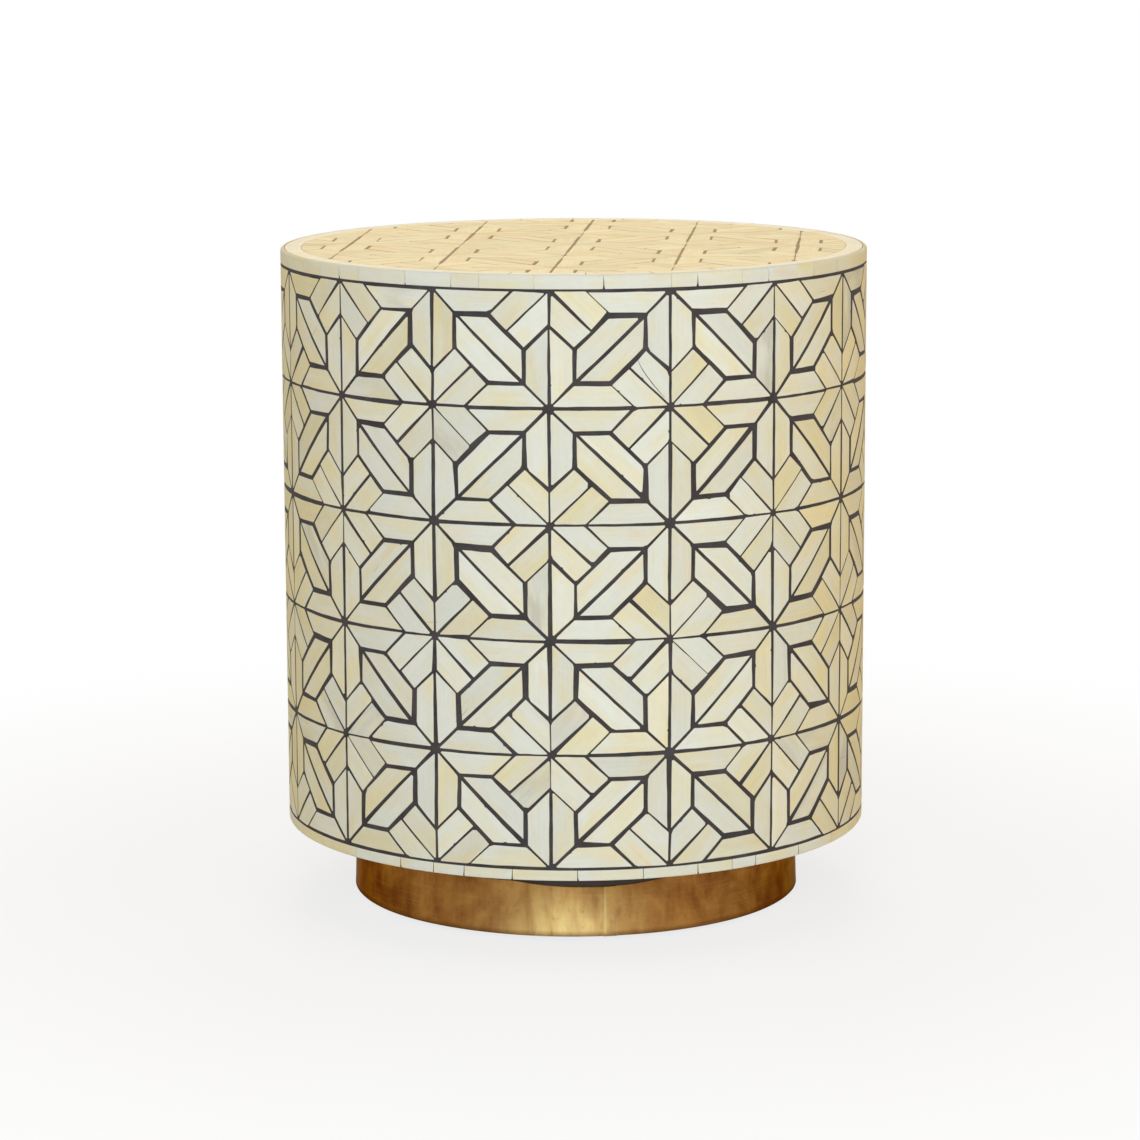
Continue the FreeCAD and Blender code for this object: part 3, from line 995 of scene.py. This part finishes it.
# Width of a painted highlight along the lap's edge, and the spacing of the points that end it
SEAM_GLINT = 0.014
GLINT_EDGE = 0.0005
BRASS_INSET = 0.25 * MM
BRASS_FLARE = 0.8 * MM
BRASS_ARRIS = 0.3 * MM
BRASS_SINK = 0.8 * MM
DIP_TURN = math.radians(8.0)
DIP_REACH = math.radians(19.0)
DIP_DEPTH = 3.3 * MM

# Dulled places, partly tarnish and partly painted shade on the sides, and rubbed places, partly wear and
# partly a painted highlight on the front, round the band: angle, reach and strength
DULLED_AND_SHADED = [(-1.1, 0.42, 0.68), (1.2, 0.38, 0.75), (2.3, 0.3, 0.4), (3.6, 0.35, 0.45)]
RUBBED_AND_HIGHLIT = [(0.04, 0.3, 0.62), (1.7, 0.35, 0.4), (2.9, 0.25, 0.45), (4.3, 0.4, 0.4)]


def marks_at(turn, marks):
    """How strong the marks are at an angle."""
    total = 0.0
    for at, reach, strength in marks:
        total += strength * math.exp(-(math.remainder(turn - at, 2 * math.pi) / reach) ** 2)
    return total


def brass_sheet():
    """Brass band: slightly wavy sheet with a lapped seam and a dip in its upper edge."""
    sheaf = Sheaf()
    outer = plinth_high.x + BRASS
    lap_half = HALF_LAP / outer
    lap_start = LAP_TURN - lap_half
    low, high = brass_low.z, brass_high.z
    turns = [2 * math.pi * step / BRASS_STEPS for step in range(BRASS_STEPS)]
    for edge in (lap_start, LAP_TURN + lap_half):
        turns += [edge - LAP_EDGE, edge + LAP_EDGE]
    turns += [lap_start + SEAM_GLINT - GLINT_EDGE, lap_start + SEAM_GLINT + GLINT_EDGE]
    turns = sorted(turns)
    waves = [(rng.randint(3, 17), rng.uniform(0, 6.28), rng.uniform(0.02, 0.06) * MM) for _ in range(6)]
    points, faces, tints = [], [], []
    for turn in turns:
        lapped = abs(turn - LAP_TURN) < lap_half
        radius = outer - BRASS_INSET
        radius += sum(size * math.sin(count * turn + phase) for count, phase, size in waves)
        radius += BRASS if lapped else 0.0
        from_dip = math.remainder(turn - DIP_TURN, 2 * math.pi) / DIP_REACH
        sink = BRASS_SINK + DIP_DEPTH * max(0.0, 1.0 - from_dip ** 2)
        side = high - sink - low - 2 * BRASS_ARRIS
        ring = [(plinth_high.x, low), (radius + BRASS_FLARE - BRASS_ARRIS, low)]
        for level in range(BRASS_LEVELS + 1):
            share = level / BRASS_LEVELS
            lean = BRASS_FLARE * (1.0 - share) ** 2
            ring.append((radius + lean, low + BRASS_ARRIS + side * share))
        ring.append((radius - BRASS_ARRIS, high - sink))
        ring.append((plinth_high.x, high - sink))
        points += [round_point(turn, reach, height) for reach, height in ring]
        for _, height in ring:
            rise = (height - low) / (high - low)
            # Green carries rubbed wear and a painted highlight, strongest low on the front
            glow = marks_at(turn, RUBBED_AND_HIGHLIT) * (1.0 - 0.65 * rise)
            # Painted highlight in a thin line along the lapped edge of the seam
            if 0.0 < turn - lap_start < SEAM_GLINT:
                glow += 0.15
            # Blue carries tarnish and painted shade on the sides, darker low down
            dull_and_shade = marks_at(turn, DULLED_AND_SHADED) * (1.0 - 0.5 * rise)
            tints.append((1.0, min(1.0, glow), dull_and_shade, 1.0))
    count = BRASS_LEVELS + 5
    for step in range(len(turns)):
        faces += ringed_faces(step * count, (step + 1) % len(turns) * count, count)
    sheaf.add(points, faces, tints, points)
    return sheaf


# Stage


WHITE = (1, 1, 1, 1)
FLOOR_REACH = 40.0
FLOOR_COLOUR = (0.78, 0.78, 0.77, 1)
FLOOR_DROP = 0.1 * MM
SHADOW_REACH = (0.22, 0.9)
NEAR_WHITE = 0.78
EVEN_LIGHT = (1.0, 0.82, 0.58, 1)
EVEN_LEVEL = 0.17


def make_floor():
    """Plain pale floor: white far off, and round the table it keeps the shadow."""
    mesh = bpy.data.meshes.new("floor")
    side = FLOOR_REACH
    corners = [(-side, -side, 0), (side, -side, 0), (side, side, 0), (-side, side, 0)]
    mesh.from_pydata(corners, [], [[0, 1, 2, 3]])
    floor = bpy.data.objects.new("floor", mesh)
    bpy.context.scene.collection.objects.link(floor)
    shade = Nodes(bpy.data.materials.new("pale_floor"), "ShaderNodeOutputMaterial")
    matte = shade.node("ShaderNodeBsdfDiffuse")
    matte.inputs["Color"].default_value = FLOOR_COLOUR
    reach = shade.node("ShaderNodeVectorMath", operation="LENGTH")
    shade.join(shade.object_place(), reach.inputs[0])
    fade = shade.stretch(reach.outputs["Value"], *SHADOW_REACH, NEAR_WHITE, 1.0, kind="SMOOTHSTEP")
    white = shade.glow("ShaderNodeEmission", WHITE, 1.0)
    above = shade.blend(shade.product(shade.seen_rays(), fade), matte.outputs[0], white)
    below = shade.node("ShaderNodeNewGeometry").outputs["Backfacing"]
    clear = shade.node("ShaderNodeBsdfTransparent").outputs[0]
    shade.join(shade.blend(below, above, clear), shade.surface)
    mesh.materials.append(shade.owner)
    floor.location.z = -FLOOR_DROP


def make_world():
    """White to the camera and in reflections, a weak even light to everything else."""
    world = bpy.data.worlds.new("studio")
    bpy.context.scene.world = world
    shade = Nodes(world, "ShaderNodeOutputWorld")
    light = shade.glow("ShaderNodeBackground", EVEN_LIGHT, EVEN_LEVEL)
    white = shade.glow("ShaderNodeBackground", WHITE, 1.0)
    shade.join(shade.blend(shade.seen_rays(), light, white), shade.surface)


TABLE_MIDDLE = (0.0, 0.0, 0.25)


def make_lamp(name, place, size, power, colour, aim=TABLE_MIDDLE, beam=180.0):
    """Soft box of a width and height in metres and a power in watts, aimed at a point."""
    data = bpy.data.lights.new(name, "AREA")
    data.shape = "RECTANGLE"
    data.size, data.size_y = size
    data.energy = power
    data.color = colour
    data.spread = math.radians(beam)
    lamp = bpy.data.objects.new(name, data)
    bpy.context.scene.collection.objects.link(lamp)
    lamp.location = place
    lamp.rotation_euler = (Vector(aim) - Vector(place)).to_track_quat("-Z", "Y").to_euler()


# The table

make_camera()
make_floor()
make_world()
make_lamp("front_box", (-0.1, -3.2, 1.35), size=(1.5, 1.4), power=56.0, colour=(0.92, 0.97, 1.07))
make_lamp("back_box", (-0.3, 2.5, 2.1), size=(1.6, 1.2), power=26.0, colour=(1.0, 0.96, 0.9))
make_lamp("top_box", (0.0, 0.1, 2.5), size=(2.2, 2.2), power=15.5, colour=(1.0, 0.98, 0.94), aim=(0, 0, 0.2))
make_lamp("right_fill", (1.75, -1.8, 0.9), size=(2.0, 1.8), power=16.0, colour=(1.0, 0.93, 0.77))
make_lamp("right_box", (2.2, 0.9, 0.8), size=(1.2, 1.4), power=10.0, colour=(1.0, 0.57, 0.22))
make_lamp("left_box", (-2.3, 0.2, 0.8), size=(1.2, 1.4), power=10.0, colour=(1.0, 0.83, 0.62))
make_lamp(
    "low_strip", (0.06, -0.9, 0.05), size=(0.3, 0.06), power=0.022, colour=(0.7, 0.97, 1.5),
    aim=(0.01, -0.15, -0.02), beam=10.0,
)

side_bone = bone_material(
    "side_bone",
    ivory=linear(223, 227, 216), cream=linear(228, 219, 175), peach=linear(232, 211, 168),
    grey=linear(194, 194, 180), edge=linear(136, 130, 112), streak_depth=0.035, polish=0.6, gloss=0.05,
)
border_bone = bone_material(
    "border_bone",
    ivory=linear(238, 230, 198), cream=linear(238, 220, 172), peach=linear(238, 218, 176),
    grey=linear(224, 214, 184), edge=linear(172, 150, 112), streak_depth=0.05, polish=0.46, gloss=0.2,
)
top_bone = bone_material(
    "top_bone",
    ivory=linear(240, 225, 174), cream=linear(236, 210, 146), peach=linear(234, 203, 146),
    grey=linear(214, 197, 150), edge=linear(172, 144, 100), streak_depth=0.07, polish=0.52, gloss=0.2,
)
side_resin = resin_material(
    "side_resin", dark=linear(58, 55, 57), pale=linear(84, 80, 80), roughness=0.62, gloss=0.05,
)
top_resin_shade = resin_material(
    "top_resin", dark=linear(136, 105, 56), pale=linear(172, 139, 79), roughness=0.5, gloss=0.04,
)
brass = brass_material()

for kind, sheaf in side_inlay().items():
    sheaf.piece("wall_" + kind, side_bone, "bone", "side_" + kind)
for kind, sheaf in top_inlay().items():
    sheaf.piece("table_top_" + kind, top_bone, "bone", "top_" + kind)
rim = rim_strips(rim_low.z, rim_high.z, arris_top=2.0 * MM, arris_bottom=0.25 * MM, gaps=(0.04, 0.14))
rim.piece("upper_rim_strips", side_bone, "bone", "top_rim_edging", sharp=ROUND_SHARP)
foot = rim_strips(foot_low.z, foot_high.z, arris_top=0.25 * MM, arris_bottom=1.0 * MM, gaps=(0.1, 0.28))
foot.piece("lower_rim_strips", side_bone, "bone", "bottom_rim_edging", sharp=ROUND_SHARP)
border_strips().piece("border_strips", border_bone, "bone", "top_border")

# Radius and height round the wall's resin, from its lower inside edge
shell_low, shell_high = foot_low.z + 0.4 * MM, rim_high.z - 1.2 * MM
shell = [
    (RADIUS - BONE - RESIN_BED, shell_low),
    (RADIUS - RESIN_DROP - 0.3 * MM, shell_low),
    (RADIUS - RESIN_DROP, foot_high.z - 1.0 * MM),
    (RADIUS - RESIN_DROP, rim_low.z + 1.0 * MM),
    (RADIUS - BONE, shell_high),
    (RADIUS - BONE - RESIN_BED, shell_high),
]
wall_resin = turned_sheaf(shell)
wall_cracks(wall_resin)
wall_resin.piece("wall_resin", side_resin, "resin", "side_resin_bed", sharp=ROUND_SHARP)
top_resin().piece("table_top_resin", top_resin_shade, "resin", "top_resin_bed", sharp=ROUND_SHARP)
brass_sheet().piece("brass_sheet", brass, "brass", "brass_band", sharp=ROUND_SHARP)

carcass = wood_material("carcass_timber", linear(196, 160, 112), linear(150, 110, 68), roughness=0.6)
ebonised = wood_material("ebonised_timber", linear(56, 39, 26), linear(30, 21, 14), roughness=0.55)
steel = steel_material()
felt = felt_material()
inner_frame = [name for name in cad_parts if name.startswith(("upright_", "mid_rail_"))]
pads = [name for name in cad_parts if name.startswith("floor_pad_")]
finishes = {
    carcass: ["top_board", "front_wall", "back_wall", *inner_frame],
    ebonised: ["base_board", "neck_board", "plinth_upper_board", "plinth_lower_board"],
    steel: ["plinth_bolt", "bolt_nut"],
    felt: pads,
}
for material, names in finishes.items():
    for name in names:
        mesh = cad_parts[name].data
        mesh.materials.clear()
        mesh.materials.append(material)
